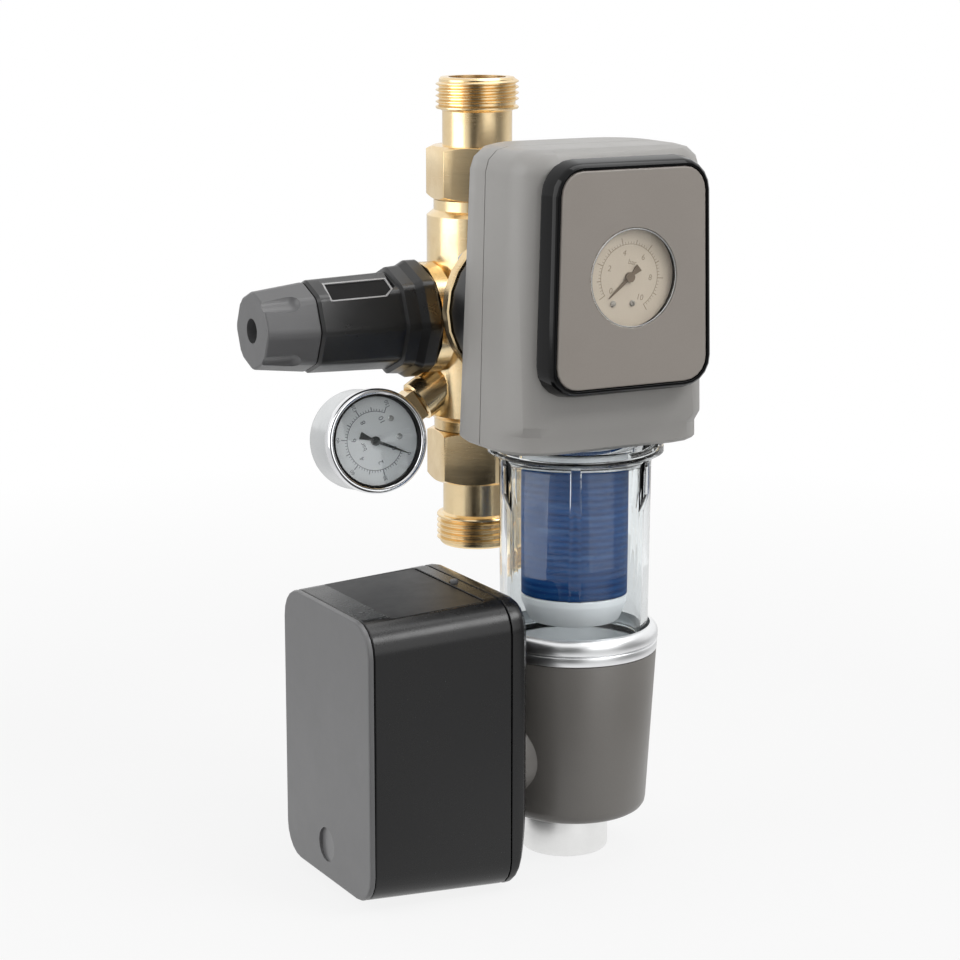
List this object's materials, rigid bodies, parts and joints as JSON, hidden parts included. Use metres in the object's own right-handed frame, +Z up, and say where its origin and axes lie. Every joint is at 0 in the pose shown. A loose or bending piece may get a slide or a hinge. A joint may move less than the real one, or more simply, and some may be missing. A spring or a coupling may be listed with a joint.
{
  "type": "self cleaning water filter",
  "caption": "Self cleaning water filter for a house inlet: brass run, pressure reducer, dial gauges, clear bowl with screen and an actuator that flushes its drain ball valve",
  "frame": {"origin": "On the pipe run's axis, midway between the two thread ends", "axes": "Z up along the pipe run towards the inlet end, -Y towards the front panel, -X towards the pressure knob and the flush actuator"},
  "size_m": [0.1496, 0.1434, 0.2953],
  "materials": {
    "brass": "machined",
    "steel": "plain",
    "chrome": "polished",
    "rubber": "matte",
    "black_plastic": "satin",
    "gloss_black": "gloss",
    "knob_grey": "matte",
    "shell_grey": "satin",
    "panel_taupe": "satin",
    "cone_grey": "satin",
    "white_plastic": "satin",
    "screen_blue": "woven",
    "clear_plastic": "clear",
    "box_black": "satin",
    "box_plate": "matte",
    "board_green": "satin"
  },
  "bodies": {
    "filter_body": {"actuator_back_cover": "box_black", "actuator_case": "box_black", "actuator_top_panel": "box_black", "battery_holder": "box_black", "battery_pack": "steel", "bowl_ring": "chrome", "bowl_seal": "rubber", "connector_body": "brass", "control_board": "board_green", "drain_housing": "cone_grey", "drain_nozzle": "white_plastic", "filter_bowl": "clear_plastic", "flange_bolt_1": "steel", "flange_bolt_2": "steel", "flange_bolt_3": "steel", "flange_bolt_4": "steel", "flange_gasket": "rubber", "flush_motor": "steel", "front_panel": "panel_taupe", "gear_plate": "box_black", "head_core": "black_plastic", "head_front_cover": "shell_grey", "head_rear_shell": "shell_grey", "inlet_gauge_case": "black_plastic", "inlet_gauge_dial": "white_plastic", "inlet_gauge_stem": "brass", "inlet_tail": "brass", "inlet_tail_seal": "rubber", "lower_ball_seat": "white_plastic", "outlet_gauge_bezel": "chrome", "outlet_gauge_case": "steel", "outlet_gauge_dial": "white_plastic", "outlet_gauge_glass": "clear_plastic", "outlet_gauge_stem": "brass", "outlet_tail": "brass", "outlet_tail_seal": "rubber", "panel_frame": "gloss_black", "reducer_bonnet": "black_plastic", "reducer_seat": "brass", "ring_seal": "rubber", "screen_sleeve": "screen_blue", "screen_support": "white_plastic", "screen_top_cap": "white_plastic", "spindle_seal": "rubber", "upper_ball_seat": "white_plastic", "window_lens": "clear_plastic"},
    "knob": {"pressure_knob": "knob_grey", "adjusting_screw": "steel"},
    "spring_nut": {"spring_plate": "steel", "reducer_spring": "steel"},
    "piston": {"reducer_piston": "brass", "piston_seal": "rubber"},
    "outlet_needle": {"outlet_gauge_needle": "black_plastic"},
    "inlet_needle": {"inlet_gauge_needle": "black_plastic"},
    "flush_valve": {"flush_ball": "chrome", "drive_spindle": "steel", "output_gear": "white_plastic"},
    "pinion": {"motor_pinion": "white_plastic"},
    "button": {"flush_button": "box_plate"},
    "end_cover": {"actuator_end_cover": "box_plate"}
  },
  "joints": [
    {"name": "pressure_knob_turn", "type": "hinge", "parent": "filter_body", "child": "knob", "pos_m": [-0.0776, 0, 0], "axis": [-1, 0, 0], "range_deg": [-720, 720]},
    {"name": "spring_plate_slide", "type": "slide", "parent": "filter_body", "child": "spring_nut", "axis": [-1, 0, 0], "range_m": [-0.00301, 0.00301], "deforming": ["reducer_spring"]},
    {"name": "reducer_piston_slide", "type": "slide", "parent": "filter_body", "child": "piston", "axis": [-1, 0, 0], "range_m": [0, 0.002], "stiffness_N_per_m": 1000, "deforming": ["reducer_spring"]},
    {"name": "outlet_needle_turn", "type": "hinge", "parent": "filter_body", "child": "outlet_needle", "pos_m": [-0.05022, 0, -0.04777], "axis": [0.0907, 0.9848, -0.1481], "range_deg": [-5, 265], "stiffness_Nm_per_rad": 0.002},
    {"name": "inlet_needle_turn", "type": "hinge", "parent": "filter_body", "child": "inlet_needle", "pos_m": [0, -0.116, 0.0284], "axis": [0, 1, 0], "range_deg": [-5, 265], "stiffness_Nm_per_rad": 0.002},
    {"name": "flush_valve_turn", "type": "hinge", "parent": "filter_body", "child": "flush_valve", "pos_m": [0, -0.0787, -0.159], "axis": [-1, 0, 0], "range_deg": [0, 90]},
    {"name": "pinion_turn", "type": "hinge", "parent": "filter_body", "child": "pinion", "pos_m": [-0.0495, -0.0787, -0.13555], "axis": [-1, 0, 0], "range_deg": [-288, 0]},
    {"name": "flush_button_press", "type": "slide", "parent": "filter_body", "child": "button", "axis": [0.0436, 0, -0.999], "range_m": [0, 0.001], "stiffness_N_per_m": 300},
    {"name": "end_cover_pull", "type": "slide", "parent": "filter_body", "child": "end_cover", "axis": [-1, 0, 0], "range_m": [0, 0.012]}
  ],
  "couplings": [
    {"joint": "spring_plate_slide", "follows": "pressure_knob_turn", "m_per_rad": 0.00023873},
    {"joint": "pinion_turn", "follows": "flush_valve_turn", "ratio": -3.2}
  ]
}
